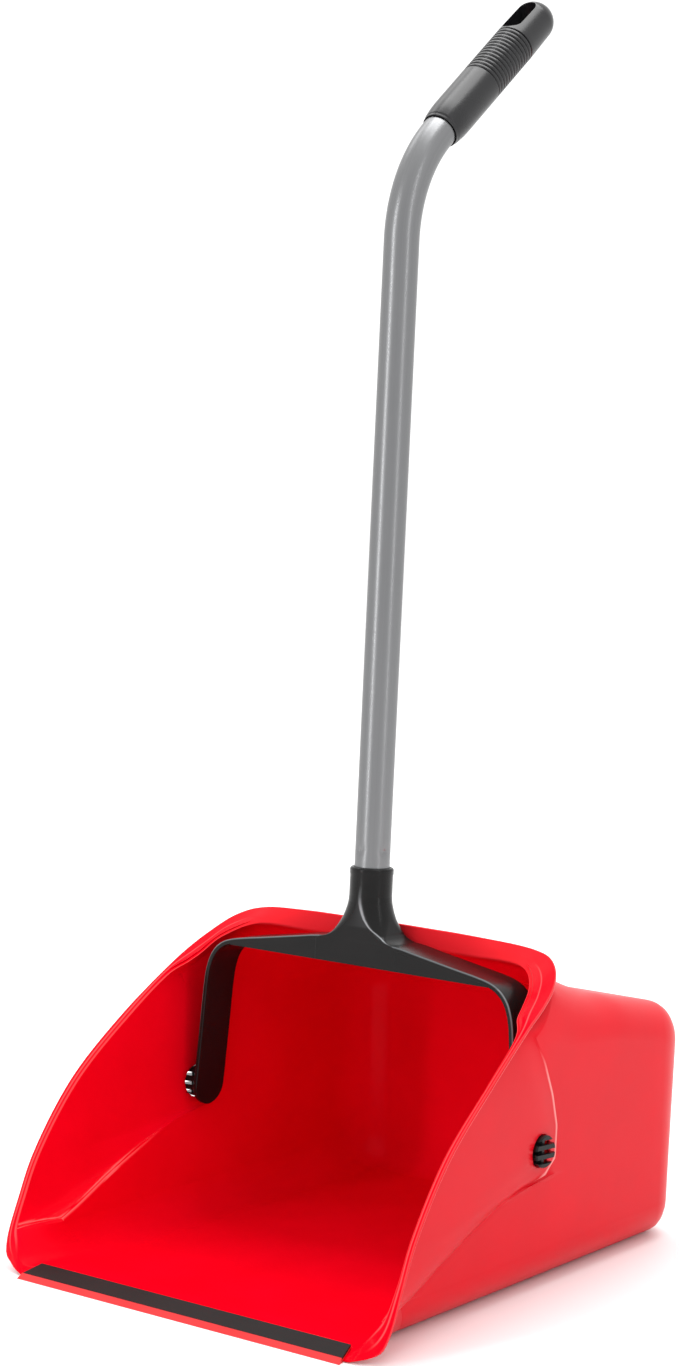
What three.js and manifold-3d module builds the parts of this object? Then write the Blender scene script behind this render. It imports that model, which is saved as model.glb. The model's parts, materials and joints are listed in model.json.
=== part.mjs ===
// Upright lobby dustpan: a one-piece hooded pan with a two-colour lip, and a long bent handle
// on a swinging yoke. Millimetres. X runs across the pan, Y from the lip to the back wall, Z up.
// The pan is drawn with its lip edge at Y = 0 and its underside at Z = 0; the finished group is
// moved back so that the origin is the bottom centre of the whole object.

import * as THREE from 'three';
import { mergeVertices } from 'three/addons/utils/BufferGeometryUtils.js';
import Module from 'manifold-3d';

const wasm = await Module();
wasm.setup();

// ---------------------------------------------------------------- driving dimensions

const GAP = 0.3;                  // clearance between neighbouring pieces
const MIDDLE_Y = 227.1;           // middle of the whole object's depth, behind the lip edge

const PAN = {
  wall: 2.8,                      // moulded wall thickness
  floorRadius: 28,                // inside radius between floor and side wall
  sideX: 161.2,                   // inside half width, produced down to the floor
  draftFront: 0.065,              // outward lean of the side wall at the pivots
  draftBack: 0.03,                // and at the back wall
  backY: 421.6,                   // inside face of the back wall, at the floor
  backDraft: 0.06,                // rearward lean of the back wall
  levelRadius: 18,                // inside radius between back wall and floor or hood
  uprightRadius: 34,              // inside radius between back wall and side walls
  backCentreZ: 92,                // height at which the back wall's facets meet
  sillZ: 3.8,                     // how far the floor rises towards the lip
  sillStart: 22,                  // Y where the floor starts behind the lip
  sillEnd: 82,                    // Y where the floor has come down to its lowest level
  hoodY: 249.5,                   // front edge of the hood
  hoodZ: 240.2,                   // ceiling height at the front edge
  hoodRearY: 328,                 // where the hood's front hump has run out
  hoodRearZ: 204,                 // ceiling height there
  hoodSlope: 0.25,                // fall of the hood towards the back
  hoodHump: 0.00312,              // extra rise of the hood towards the mouth, per mm squared
};

const PIVOT = {
  y: 219.5,
  z: 109.5,
  hole: 12.9,                     // radius of the hole in the pan's wall
  hub: 12.3,                      // radius of the finned hub
  tipX: 177,                      // outer end of the hub
  finSlots: [-7, 0, 7],           // heights of the slots between the fins
  slot: 2.6,                      // slot width
  core: 1.5,                      // half width of the web that joins the fins
};

const HANDLE = {
  lean: THREE.MathUtils.degToRad(4.2),   // backward lean of the straight tube at rest
  tubeRadius: 13.8,
  tubeWall: 1.2,
  tubeFoot: 152.5,                // tube end above the pivot, inside the socket
  bendStart: 674,                 // where the straight stretch ends
  bendRadius: 113,
  bendAngle: THREE.MathUtils.degToRad(49.3),
  afterBend: 103.7,               // straight stretch after the bend
};

// Dimples pressed through the tube into the insert, just above the socket.
const DIMPLE = { radius: 3.2, depth: 0.7, aboveSocket: 13, degrees: [-100, -10, 80, 170] };

const YOKE = {
  depth: 33,                      // front to back
  strap: 4,                       // strap and arm thickness
  socketRadius: 16.7,
  socketTop: 193.2,
  webBottom: 117.8,
  webThick: 3.5,
  flareRadius: 30,                // side of the neck where it runs out into the strap
  flareTop: 171,
  shoulderX: 118,                 // where the strap turns down into the arm
  shoulderZ: 124.8,
  strapSlope: 0.15,
  armTopX: 154,                   // outer face of the arm, below the corner
  armTopZ: 90,
  armEndX: 160.5,                 // outer face of the arm at the pivot
  collar: 4,                      // height of the thicker band at the socket's mouth
  collarExtra: 0.7,
  ribs: [-84, -48, 48, 84],       // X of the stiffening ribs behind the front web
  ribThick: 2.5,
};

// Lengths along the grip are measured from its mouth.
const GRIP = {
  start: 2.3,                     // mouth, past the end of the tube's bend
  length: 168,
  radius: 17,
  mouthRadius: 15.6,
  mouth: 2.5,                     // height of the narrow band at the mouth
  swell: 13,                      // height at which the grip has its full radius
  bore: 102,
  ringStart: 64,
  ringPitch: 4.1,
  rings: 14,
  ringWidth: 1.4,
  ringDepth: 0.8,
  slotStart: 120,                 // hanging slot
  slotEnd: 158,
  slotWidth: 17,
};

// Plug between tube and yoke; heights above the pivot.
const INSERT = { radius: 12.5, foot: 152.8, top: 225, spigot: 9.9, spigotFoot: 124 };

// Facets round a full turn.
const SIDES = { hole: 40, socket: 32, bore: 24, tube: 24, grip: 24, slot: 20 };

// ---------------------------------------------------------------- materials

const plastic = (color, roughness) =>
  new THREE.MeshStandardMaterial({ color, roughness, metalness: 0 });
const redPlastic = () => plastic(0xd3041a, 0.25);
const blackPlastic = () => plastic(0x1c1c1d, 0.42);
const blackRubber = () => plastic(0x222020, 0.7);
const naturalPlastic = () => plastic(0xe4e2dc, 0.5);
const metal = () =>
  new THREE.MeshStandardMaterial({ color: 0xa3a5a8, roughness: 0.32, metalness: 0.9 });

// ---------------------------------------------------------------- mesh helpers

function toSolid(geometry) {
  const bare = geometry.index ? geometry.clone() : geometry;
  bare.deleteAttribute('normal');
  bare.deleteAttribute('uv');
  const merged = mergeVertices(bare, 1e-4);
  return new wasm.Manifold(new wasm.Mesh({
    numProp: 3,
    vertProperties: new Float32Array(merged.attributes.position.array),
    triVerts: new Uint32Array(merged.index.array),
  }));
}

function toGeometry(solid) {
  const { vertProperties, triVerts } = solid.getMesh();
  const geometry = new THREE.BufferGeometry();
  geometry.setAttribute('position', new THREE.BufferAttribute(new Float32Array(vertProperties), 3));
  geometry.setIndex(new THREE.BufferAttribute(new Uint32Array(triVerts), 1));
  return geometry;
}

function namedMesh(name, geometry, material) {
  geometry.computeVertexNormals();
  const mesh = new THREE.Mesh(geometry, material);
  mesh.name = name;
  return mesh;
}

// A cylinder whose axis is X, Y or Z, from one end coordinate to the other.
function rod(axis, radius, from, to, at, sides) {
  const geometry = new THREE.CylinderGeometry(radius, radius, to - from, sides);
  geometry.translate(0, (from + to) / 2, 0);
  if (axis === 'x') geometry.rotateZ(-Math.PI / 2).translate(0, at[0], at[1]);
  if (axis === 'y') geometry.translate(at[0], 0, at[1]);
  if (axis === 'z') geometry.rotateX(Math.PI / 2).translate(at[0], at[1], 0);
  return toSolid(geometry);
}

function block(x0, x1, y0, y1, z0, z1) {
  const geometry = new THREE.BoxGeometry(x1 - x0, y1 - y0, z1 - z0);
  return toSolid(geometry.translate((x0 + x1) / 2, (y0 + y1) / 2, (z0 + z1) / 2));
}

// Closed skin over rings of equal length; the first and last ring are filled as fans.
function loft(rings) {
  const count = rings[0].length;
  const positions = rings.flat().flatMap((p) => [p.x, p.y, p.z]);
  const index = [];
  for (let r = 0; r + 1 < rings.length; r++) {
    for (let i = 0; i < count; i++) {
      const a = r * count + i;
      const b = r * count + (i + 1) % count;
      index.push(a, b, b + count, a, b + count, a + count);
    }
  }
  const last = (rings.length - 1) * count;
  for (let i = 1; i + 1 < count; i++) {
    index.push(0, i + 1, i);
    index.push(last, last + i, last + i + 1);
  }
  const geometry = new THREE.BufferGeometry();
  geometry.setAttribute('position', new THREE.Float32BufferAttribute(positions, 3));
  geometry.setIndex(index);
  return toSolid(geometry);
}

const lerp = THREE.MathUtils.lerp;
const clamp01 = (t) => THREE.MathUtils.clamp(t, 0, 1);

// Straight-line interpolation through [input, output] pairs.
function table(pairs, x) {
  let k = 1;
  while (k < pairs.length - 1 && x > pairs[k][0]) k += 1;
  const [x0, y0] = pairs[k - 1];
  const [x1, y1] = pairs[k];
  return lerp(y0, y1, clamp01((x - x0) / (x1 - x0)));
}

// ---------------------------------------------------------------- pan

// The inside surface is drawn as lines that start on the mouth's rim and run back along the
// floor, wall or hood to the middle of the back wall. A line's place round the cross-section
// is its zone and a fraction f from 0 to 1 within that zone.

const v3 = (x, y, z) => new THREE.Vector3(x, y, z);

const floorHeight = (y) =>
  PAN.wall + PAN.sillZ * (1 - THREE.MathUtils.smoothstep(y, PAN.sillStart, PAN.sillEnd));
const backShare = (y) => clamp01((y - PIVOT.y) / (PAN.backY - PIVOT.y));
const sideWallX = (y, z) => PAN.sideX + z * lerp(PAN.draftFront, PAN.draftBack, backShare(y));
const wallTop = (y) => table([[200, 200], [252, 184], [328, 174], [420, 153]], y);
const cornerWidth = (y) => table([[252, 57], [335, 29]], y);
function ceiling(y) {
  if (y < PAN.hoodY) return PAN.hoodZ;
  const ahead = PAN.hoodRearY - y;
  return PAN.hoodRearZ + PAN.hoodSlope * ahead + PAN.hoodHump * Math.max(0, ahead) ** 2;
}

// Inside point of the box part of the pan, and the inward direction there.
function boxPoint(zone, f, y) {
  const r = PAN.floorRadius;
  const floorZ = floorHeight(y);
  const edgeX = sideWallX(y, floorZ + r) - r;
  const low = floorZ + r;
  const top = wallTop(y);
  const angle = f * Math.PI / 2;
  if (zone === 'floor') return [v3(f * edgeX, y, floorZ), v3(0, 0, 1)];
  if (zone === 'foot') {
    return [v3(edgeX + r * Math.sin(angle), y, floorZ + r * (1 - Math.cos(angle))),
      v3(-Math.sin(angle), 0, Math.cos(angle))];
  }
  if (zone === 'wall') {
    const z = lerp(low, top, f);
    return [v3(sideWallX(y, z), y, z), v3(-1, 0, 0)];
  }
  const rx = cornerWidth(y);
  const rz = ceiling(y) - top;
  if (zone === 'corner') {
    const normal = v3(-Math.cos(angle) * rz, 0, -Math.sin(angle) * rx).normalize();
    return [v3(sideWallX(y, top) - rx * (1 - Math.cos(angle)), y, top + rz * Math.sin(angle)),
      normal];
  }
  return [v3((1 - f) * (sideWallX(y, top) - rx), y, ceiling(y)), v3(0, 0, -1)];
}

// Radius with which a line rounds into the back wall.
function backRadius(zone, f) {
  const uprightness = { floor: 0, foot: f, wall: 1, corner: 1 - f, top: 0 }[zone];
  return lerp(PAN.levelRadius, PAN.uprightRadius, THREE.MathUtils.smoothstep(uprightness, 0, 1));
}

// Outer edge and inner edge of the rim, for the right half, zone by zone.
const RIM = {
  floor: {
    outer: [v3(0, 6.6, 0.75), v3(153, 6.6, 0.75)],
    inner: [v3(0, 22, 6.4), v3(151, 22, 6.4)],
  },
  foot: {
    outer: [v3(153, 6.6, 0.75), v3(157, 6.2, 1.6), v3(162, 6.2, 2.4), v3(169, 8.6, 3.4),
      v3(177, 12.4, 6), v3(183.5, 14.5, 10.5), v3(187.3, 19.5, 22)],
    inner: [v3(151, 22, 6.4), v3(156, 16, 6), v3(161, 10.5, 7.5), v3(166, 10.5, 11),
      v3(170.5, 13, 16), v3(175, 17, 22), v3(179.5, 21, 29)],
  },
  wall: {
    outer: [v3(187.3, 19.5, 22), v3(187.8, 33, 52), v3(187.2, 48, 82), v3(185.4, 89, 133),
      v3(182.2, 145, 176), v3(177.5, 196, 208)],
    inner: [v3(179.5, 21, 29), v3(181.8, 34, 53), v3(181.5, 49.5, 82), v3(179.5, 90.5, 132),
      v3(176.5, 146, 174), v3(168, 188, 204)],
  },
  corner: {
    outer: [v3(177.5, 196, 208), v3(175, 218, 220), v3(169.5, 238, 231), v3(160, 253, 241),
      v3(148, 261, 247), v3(136, 262, 250), v3(122, 259, 252.5)],
    inner: [v3(168, 188, 204), v3(162, 200, 212), v3(158, 213, 217.5), v3(154, 226, 226),
      v3(147, 237, 232), v3(138, 245, 236.7), v3(126, 249.5, 239.7)],
  },
  top: {
    outer: [v3(122, 259, 252.5), v3(80, 251.5, 255.6), v3(40, 250, 256.2), v3(0, 250, 256.5)],
    inner: [v3(126, 249.5, 239.7), v3(84, 249.5, 240.2), v3(42, 249.5, 240.2),
      v3(0, 249.5, 240.2)],
  },
};

function rimPoint(zone, side, f) {
  const points = RIM[zone][side];
  const curve = new THREE.CatmullRomCurve3(points, false, 'centripetal');
  return curve.getPoint(f);
}

// Where each line leaves the flared front panel and joins the straight box.
const FLARE_END = {
  floor: [[0, 82], [1, 82]],
  foot: [[0, 82], [1, 60]],
  wall: [[0, 60], [0.15, 112], [0.3, 180], [0.36, 228], [0.44, 241], [0.6, 241], [0.75, 233],
    [0.9, 220], [1, 206]],
  corner: [[0, 206], [1, 300]],
  top: [[0, 300], [1, 300]],
};

const FLARE_ROWS = 5;
const BOX_ROWS = 3;
const ROUND_ROWS = 4;
const BACK_ROWS = 2;
const BEAD = 0.55;                // where the rim's step lies between its outer and inner edge
const SILL_STEP = { y: 0.9, z: 4.8 };   // top of the small step that the lip's rear edge meets

// One line of the inside surface, from the rim's outer edge to the middle of the back wall.
function panLine(zone, f, side) {
  const outer = rimPoint(zone, 'outer', f);
  const inner = rimPoint(zone, 'inner', f);
  const step = zone === 'floor'
    ? v3(inner.x, inner.y - SILL_STEP.y, SILL_STEP.z)
    : outer.clone().lerp(inner, BEAD);
  const line = [outer, step, inner];
  const [start] = boxPoint(zone, f, inner.y);
  const offset = inner.clone().sub(start);
  const flareEnd = table(FLARE_END[zone], f);
  for (let k = 1; k <= FLARE_ROWS; k++) {
    const t = k / FLARE_ROWS;
    const [point] = boxPoint(zone, f, lerp(inner.y, flareEnd, t));
    line.push(point.addScaledVector(offset, 1 - t));
  }
  const r = backRadius(zone, f);
  const roundStart = PAN.backY - r;
  for (let k = 1; k <= BOX_ROWS; k++) {
    line.push(boxPoint(zone, f, lerp(flareEnd, roundStart, k / BOX_ROWS))[0]);
  }
  const [corner, inward] = boxPoint(zone, f, roundStart);
  const lean = (z) => PAN.backDraft * z;
  let last;
  for (let k = 1; k <= ROUND_ROWS; k++) {
    const angle = k / ROUND_ROWS * Math.PI / 2;
    last = corner.clone().addScaledVector(inward, r * (1 - Math.cos(angle)));
    last.y += r * Math.sin(angle) + lean(last.z) * Math.sin(angle);
    line.push(last);
  }
  const centre = v3(0, PAN.backY + lean(PAN.backCentreZ), PAN.backCentreZ);
  for (let k = 1; k <= BACK_ROWS; k++) line.push(last.clone().lerp(centre, k / BACK_ROWS));
  for (const point of line) point.x *= side;
  return line;
}

const ZONES = [['floor', 4], ['foot', 6], ['wall', 10], ['corner', 6], ['top', 3]];

// All lines once round the mouth, from the middle of the floor over the right side and back.
function panLines() {
  const stations = [['floor', 0]];
  for (const [zone, count] of ZONES) {
    for (let k = 1; k <= count; k++) stations.push([zone, k / count]);
  }
  const right = stations.map(([zone, f]) => panLine(zone, f, 1));
  const left = stations.slice(1, -1).reverse().map(([zone, f]) => panLine(zone, f, -1));
  return [...right, ...left];
}

// Offsets every grid point outwards by the wall thickness, square to the faces round it.
// SHARPEST limits how far a point may move at a crease.
const SHARPEST = 0.6;
function outsideOf(lines) {
  const n = lines.length;
  const rows = lines[0].length;
  const faceNormal = (i, k) => {
    const a = lines[i][k];
    const b = lines[(i + 1) % n][k];
    const c = lines[(i + 1) % n][k + 1];
    const d = lines[i][k + 1];
    return c.clone().sub(a).cross(d.clone().sub(b)).normalize();
  };
  return lines.map((line, i) => line.map((point, k) => {
    const normals = [];
    for (const di of [n - 1, 0]) {
      for (const dk of [-1, 0]) {
        if (k + dk >= 0 && k + dk < rows - 1) normals.push(faceNormal((i + di) % n, k + dk));
      }
    }
    if (k === rows - 1) return point.clone().add(v3(0, PAN.wall, 0));
    const sum = normals.reduce((total, normal) => total.add(normal), v3(0, 0, 0)).normalize();
    const reach = Math.max(SHARPEST, Math.min(...normals.map((normal) => normal.dot(sum))));
    const moved = point.clone().addScaledVector(sum, -PAN.wall / reach);
    moved.z = Math.max(0, moved.z);
    return moved;
  }));
}

function panShell() {
  const inside = panLines();
  const outside = outsideOf(inside);
  const n = inside.length;
  const rows = inside[0].length;
  const positions = [];
  for (const line of [...inside, ...outside]) for (const p of line) positions.push(p.x, p.y, p.z);
  const at = (skin, i, k) => (skin * n + (i % n)) * rows + k;
  const index = [];
  const quad = (a, b, c, d) => index.push(a, b, c, a, c, d);
  for (let i = 0; i < n; i++) {
    for (let k = 0; k + 1 < rows; k++) {
      quad(at(0, i, k), at(0, i + 1, k), at(0, i + 1, k + 1), at(0, i, k + 1));
      quad(at(1, i, k), at(1, i, k + 1), at(1, i + 1, k + 1), at(1, i + 1, k));
    }
    quad(at(0, i, 0), at(1, i, 0), at(1, i + 1, 0), at(0, i + 1, 0));
  }
  const geometry = new THREE.BufferGeometry();
  geometry.setAttribute('position', new THREE.Float32BufferAttribute(positions, 3));
  geometry.setIndex(index);
  const merged = mergeVertices(geometry, 1e-3);
  const clean = [];
  const ids = merged.index.array;
  for (let t = 0; t < ids.length; t += 3) {
    const [a, b, c] = [ids[t], ids[t + 1], ids[t + 2]];
    if (a !== b && b !== c && c !== a) clean.push(a, b, c);
  }
  merged.setIndex(clean);
  return toSolid(merged);
}

const PAN_REACH = 220;            // beyond the pan's half width

function pan() {
  const room = lipProfile(LIP_ENVELOPE, GAP);
  const holes = rod('x', PIVOT.hole, -PAN_REACH, PAN_REACH, [PIVOT.y, PIVOT.z], SIDES.hole);
  return namedMesh('pan', toGeometry(panShell().subtract(holes).subtract(room)), redPlastic());
}

// ---------------------------------------------------------------- lip

// Section of the lip in Y and Z: a nose, then a seat that climbs gently to the floor.
const LIP = {
  nose: 4.4,                      // Y of the top of the bevelled nose
  seat: 5,                        // Y where the base steps down to the strip's seat
  foot: 7,                        // Y where the base lifts off the ground
  rear: 20.8,
  frontZ: 3.7,                    // top of the strip at its front edge
  slope: 0.293,
  rubber: 1.35,                   // thickness of the black strip
  base: 1.4,                      // thickness of the red base under it
  halfWidth: 156,                 // at the strip's front edge
  endSlant: 0.3,                  // how much the ends draw in per mm towards the back
};
const STRIP_FRONT = LIP.seat + GAP;
const lipTop = (y) => LIP.frontZ + (y - STRIP_FRONT) * LIP.slope;
const stripUnder = (y) => lipTop(y) - LIP.rubber;
const baseTop = (y) => stripUnder(y) - GAP;
const baseUnder = (y) => baseTop(y) - LIP.base;
const lipHalfWidth = (y) => LIP.halfWidth - (y - STRIP_FRONT) * LIP.endSlant;
const RUBBER = [[STRIP_FRONT, stripUnder(STRIP_FRONT)], [LIP.rear, stripUnder(LIP.rear)],
  [LIP.rear, lipTop(LIP.rear)], [STRIP_FRONT, lipTop(STRIP_FRONT)]];
const LIP_BASE = [[0, 0], [LIP.foot, 0], [LIP.foot, baseUnder(LIP.foot)],
  [LIP.rear, baseUnder(LIP.rear)], [LIP.rear, baseTop(LIP.rear)],
  [LIP.seat, baseTop(LIP.seat)], [LIP.seat, lipTop(LIP.seat)], [LIP.nose, lipTop(LIP.seat)]];
const CLEAR = 14;                 // well above the lip
const LIP_ENVELOPE = [[-1, -1], [LIP.foot + GAP, -1],
  [LIP.foot + GAP, baseUnder(LIP.foot) - GAP], [LIP.rear + GAP, baseUnder(LIP.rear) - GAP],
  [LIP.rear + GAP, CLEAR], [-1, CLEAR]];

// Prism across the pan whose ends are cut on a slant, each moved out by extra.
function lipProfile(points, extra) {
  const outline = points.map(([y, z]) => new THREE.Vector2(y, z));
  const geometry = new THREE.ExtrudeGeometry(new THREE.Shape(outline),
    { depth: 2, bevelEnabled: false });
  const place = geometry.attributes.position;
  for (let k = 0; k < place.count; k++) {
    const y = place.getX(k);
    const z = place.getY(k);
    const side = place.getZ(k) > 1 ? 1 : -1;
    place.setXYZ(k, side * (lipHalfWidth(y) + extra), y, z);
  }
  return toSolid(geometry);
}

function lip() {
  return [
    namedMesh('lip_base_strip', toGeometry(lipProfile(LIP_BASE, 0)), redPlastic()),
    namedMesh('lip_rubber_strip', toGeometry(lipProfile(RUBBER, 0)), blackRubber()),
  ];
}

// ---------------------------------------------------------------- yoke

// The yoke is drawn square, with the pivot at the origin and the tube's axis along Z.

const strapTop = (x) => YOKE.shoulderZ + (YOKE.shoulderX - x) * YOKE.strapSlope;
const armX = (z) => lerp(YOKE.armEndX, YOKE.armTopX, z / YOKE.armTopZ);

// Half outline of the arch, inset by a distance from its outer face, from the middle down.
function archLine(inset) {
  const points = [[0, strapTop(YOKE.flareRadius) - inset],
    [YOKE.flareRadius, strapTop(YOKE.flareRadius) - inset],
    [YOKE.shoulderX, YOKE.shoulderZ - inset]];
  const start = new THREE.Vector2(YOKE.shoulderX, YOKE.shoulderZ - inset);
  const end = new THREE.Vector2(YOKE.armTopX - inset, YOKE.armTopZ);
  const control1 = new THREE.Vector2(start.x + 20, start.y - 20 * YOKE.strapSlope);
  const control2 = new THREE.Vector2(end.x - 1, end.y + 18);
  const curve = new THREE.CubicBezierCurve(start, control1, control2, end);
  for (const p of curve.getPoints(9).slice(1)) points.push([p.x, p.y]);
  points.push([YOKE.armEndX - inset, 0]);
  return points;
}

function archBand(y0, y1) {
  const outer = archLine(0);
  const inner = archLine(YOKE.strap);
  const mirror = ([x, z]) => [-x, z];
  const ring = [
    ...outer.slice(1), ...inner.slice(1).reverse(),
    ...inner.slice(1).map(mirror), ...outer.slice(1).reverse().map(mirror),
  ];
  const shape = new THREE.Shape(ring.map(([x, z]) => new THREE.Vector2(x, z)));
  const geometry = new THREE.ExtrudeGeometry(shape, { depth: y1 - y0, bevelEnabled: false });
  return toSolid(geometry.rotateX(Math.PI / 2).translate(0, y1, 0));
}

function frontWeb(y0, y1) {
  const middle = YOKE.flareRadius;
  const end = YOKE.shoulderX + 2;
  const top = (x) => strapTop(x) - 1;
  const shape = new THREE.Shape([
    [-end, YOKE.webBottom], [end, YOKE.webBottom], [end, top(end)], [middle, top(middle)],
    [-middle, top(middle)], [-end, top(end)],
  ].map(([x, z]) => new THREE.Vector2(x, z)));
  const geometry = new THREE.ExtrudeGeometry(shape, { depth: y1 - y0, bevelEnabled: false });
  return toSolid(geometry.rotateX(Math.PI / 2).translate(0, y1, 0));
}

// Neck: sections that grow from the round socket into a wide oval where they meet the strap.
function neck() {
  const corner = 8;
  const ring = (z, half) => {
    const points = [];
    for (const side of [1, -1]) {
      for (let k = 0; k <= corner; k++) {
        const angle = side * Math.PI / 2 - Math.PI + k / corner * Math.PI;
        points.push(v3(side * half + YOKE.socketRadius * Math.cos(angle),
          YOKE.socketRadius * Math.sin(angle), z));
      }
    }
    return points;
  };
  const halfLength = (z) => {
    const drop = Math.min(YOKE.flareTop - z, YOKE.flareRadius - 0.4);
    return YOKE.flareRadius - Math.sqrt(YOKE.flareRadius ** 2 - drop ** 2);
  };
  const levels = [YOKE.webBottom + 6, 137.5, 139, 141.5, 145, 150, 156, 163];
  const rings = levels.map((z) => ring(z, halfLength(z) + 0.02));
  rings.push(ring(YOKE.flareTop, 0.02), ring(YOKE.socketTop, 0.02));
  return loft(rings);
}

// Round arm end with its pivot hub: four fins that spring through the hole in the pan's wall.
function armEnd(side) {
  const front = -YOKE.depth / 2;
  const back = YOKE.depth / 2;
  const inner = YOKE.armEndX - YOKE.strap;
  const disc = rod('x', YOKE.depth / 2, inner, YOKE.armEndX, [0, 0], SIDES.hole)
    .intersect(block(inner - 1, YOKE.armEndX + 1, front, back, front - 1, 0.5));
  let hub = rod('x', PIVOT.hub, YOKE.armEndX - 1, PIVOT.tipX, [0, 0], SIDES.hole);
  const slotFoot = YOKE.armEndX + 0.8;
  for (const z of PIVOT.finSlots) {
    const [low, high] = [z - PIVOT.slot / 2, z + PIVOT.slot / 2];
    hub = hub
      .subtract(block(slotFoot, PIVOT.tipX + 1, -YOKE.depth, -PIVOT.core, low, high))
      .subtract(block(slotFoot, PIVOT.tipX + 1, PIVOT.core, YOKE.depth, low, high));
  }
  const whole = disc.add(hub);
  return side > 0 ? whole : whole.mirror([1, 0, 0]);
}

function yoke() {
  const front = -YOKE.depth / 2;
  const back = YOKE.depth / 2;
  const axis = [0, 0];
  let body = archBand(front, back)
    .add(frontWeb(front, front + YOKE.webThick))
    .add(neck())
    .add(rod('z', YOKE.socketRadius, YOKE.webBottom, YOKE.flareTop, axis, SIDES.socket))
    .add(rod('z', YOKE.socketRadius + YOKE.collarExtra, YOKE.socketTop - YOKE.collar,
      YOKE.socketTop, axis, SIDES.socket))
    .add(armEnd(1))
    .add(armEnd(-1));
  for (const x of YOKE.ribs) {
    const half = YOKE.ribThick / 2;
    const top = strapTop(Math.abs(x)) - 2;
    body = body.add(block(x - half, x + half, front + 1, back - 2, YOKE.webBottom + 2, top));
  }
  const bore = rod('z', HANDLE.tubeRadius + GAP, HANDLE.tubeFoot - GAP, YOKE.socketTop + 1,
    axis, SIDES.socket);
  const spigotHole = rod('z', INSERT.spigot + GAP, YOKE.webBottom - 1, YOKE.socketTop,
    axis, SIDES.bore);
  return namedMesh('yoke', toGeometry(body.subtract(bore).subtract(spigotHole)), blackPlastic());
}

// ---------------------------------------------------------------- tube, insert and grip

const bendEnd = (() => {
  const { bendAngle: angle, bendRadius: r } = HANDLE;
  return { y: r * (1 - Math.cos(angle)), z: HANDLE.bendStart + r * Math.sin(angle), angle };
})();

// Point on the tube's axis, a run past the end of the bend.
const pastBend = (run) =>
  v3(0, bendEnd.y + run * Math.sin(bendEnd.angle), bendEnd.z + run * Math.cos(bendEnd.angle));

// Centre line of the tube: straight up from the socket, one bend, straight into the grip.
class TubeLine extends THREE.Curve {
  constructor() {
    super();
    this.straight = 3;
    this.bend = 14;
    this.end = 2;
    this.steps = this.straight + this.bend + this.end;
  }

  getPointAt(u) {
    const s = u * this.steps;
    if (s <= this.straight) {
      return v3(0, 0, lerp(HANDLE.tubeFoot, HANDLE.bendStart, s / this.straight));
    }
    if (s <= this.straight + this.bend) {
      const angle = (s - this.straight) / this.bend * HANDLE.bendAngle;
      return v3(0, HANDLE.bendRadius * (1 - Math.cos(angle)),
        HANDLE.bendStart + HANDLE.bendRadius * Math.sin(angle));
    }
    const run = (s - this.straight - this.bend) / this.end * HANDLE.afterBend;
    return pastBend(run);
  }

  getTangentAt(u) {
    const s = clamp01((u * this.steps - this.straight) / this.bend);
    const angle = s * HANDLE.bendAngle;
    return v3(0, Math.sin(angle), Math.cos(angle));
  }
}

function handleTube() {
  const line = new TubeLine();
  const circle = (r) => Array.from({ length: SIDES.tube }, (_, k) => {
    const angle = k / SIDES.tube * 2 * Math.PI;
    return new THREE.Vector2(r * Math.cos(angle), r * Math.sin(angle));
  });
  const section = new THREE.Shape(circle(HANDLE.tubeRadius));
  section.holes.push(new THREE.Path(circle(HANDLE.tubeRadius - HANDLE.tubeWall)));
  const geometry = new THREE.ExtrudeGeometry(section,
    { steps: line.steps, extrudePath: line, bevelEnabled: false });
  let solid = toSolid(geometry);
  const reach = HANDLE.tubeRadius - DIMPLE.depth + DIMPLE.radius;
  for (const degrees of DIMPLE.degrees) {
    const angle = THREE.MathUtils.degToRad(degrees);
    const ball = new THREE.SphereGeometry(DIMPLE.radius, 12, 8).translate(
      reach * Math.cos(angle), reach * Math.sin(angle), YOKE.socketTop + DIMPLE.aboveSocket);
    solid = solid.subtract(toSolid(ball));
  }
  return namedMesh('handle_tube', toGeometry(solid), metal());
}

function tubeInsert() {
  const profile = [[0, INSERT.spigotFoot], [INSERT.spigot, INSERT.spigotFoot],
    [INSERT.spigot, INSERT.foot], [INSERT.radius, INSERT.foot], [INSERT.radius, INSERT.top],
    [0, INSERT.top]].map(([r, z]) => new THREE.Vector2(r, z));
  const geometry = new THREE.LatheGeometry(profile, SIDES.bore).rotateX(Math.PI / 2);
  return namedMesh('tube_insert', toGeometry(toSolid(geometry)), naturalPlastic());
}

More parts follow.
